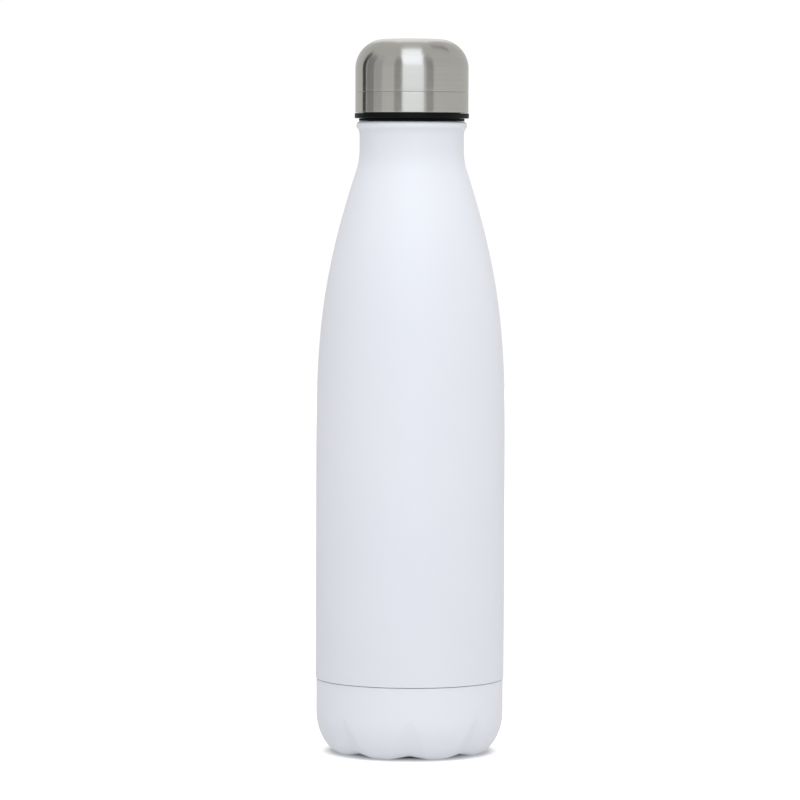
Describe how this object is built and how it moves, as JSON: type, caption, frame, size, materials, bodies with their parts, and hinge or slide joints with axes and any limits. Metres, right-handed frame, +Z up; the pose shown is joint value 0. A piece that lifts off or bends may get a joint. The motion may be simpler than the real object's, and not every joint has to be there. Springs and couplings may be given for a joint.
{
  "type": "insulated water bottle",
  "caption": "Slim double-walled steel water bottle with a long tapered shoulder, a footed base cup, and a screw-in stopper under a domed steel cap.",
  "frame": {"origin": "middle of the plane that the eight feet stand on", "axes": "+Z up along the bottle's axis, towards the cap; -Y is the front, where a valley between two feet faces"},
  "size_m": [0.07, 0.07, 0.2642],
  "materials": {
    "white_powder_coat": "satin white powder coat on steel",
    "brushed_steel": "brushed round its axis",
    "bare_steel": "electropolished stainless steel",
    "black_plastic": "moulded black polypropylene",
    "black_silicone": "moulded black silicone",
    "copper_foil": "bright copper foil",
    "white_foam": "fine rigid foam",
    "bond": "cured adhesive",
    "getter_metal": "pressed and sintered metal powder",
    "solder_glass": "dark fused solder glass"
  },
  "bodies": {
    "bottle": {"outer_shell": "white_powder_coat", "inner_liner": "bare_steel", "liner_bottom": "bare_steel", "copper_foil_wrap": "copper_foil", "vacuum_base_plate": "bare_steel", "port_seal_bead": "solder_glass", "getter_pill": "getter_metal", "getter_clip": "bare_steel", "base_cup": "white_powder_coat", "base_bond_ring": "bond"},
    "gasket": {"sealing_gasket": "black_silicone"},
    "lid": {"cap_shell": "brushed_steel", "cap_bond_ring": "bond", "cap_insert": "black_plastic", "stopper_body": "black_plastic", "stopper_foam": "white_foam"}
  },
  "joints": [
    {"name": "lid_rise", "type": "slide", "parent": "bottle", "child": "gasket", "axis": [0, 0, 1], "range_m": [0, 0.026]},
    {"name": "lid_turn", "type": "hinge", "parent": "gasket", "child": "lid", "pos_m": [0, 0, 0.2348], "axis": [0, 0, 1], "range_deg": [0, 2340]}
  ],
  "couplings": [
    {"joint": "lid_rise", "follows": "lid_turn", "m_per_rad": 0.00063662}
  ]
}
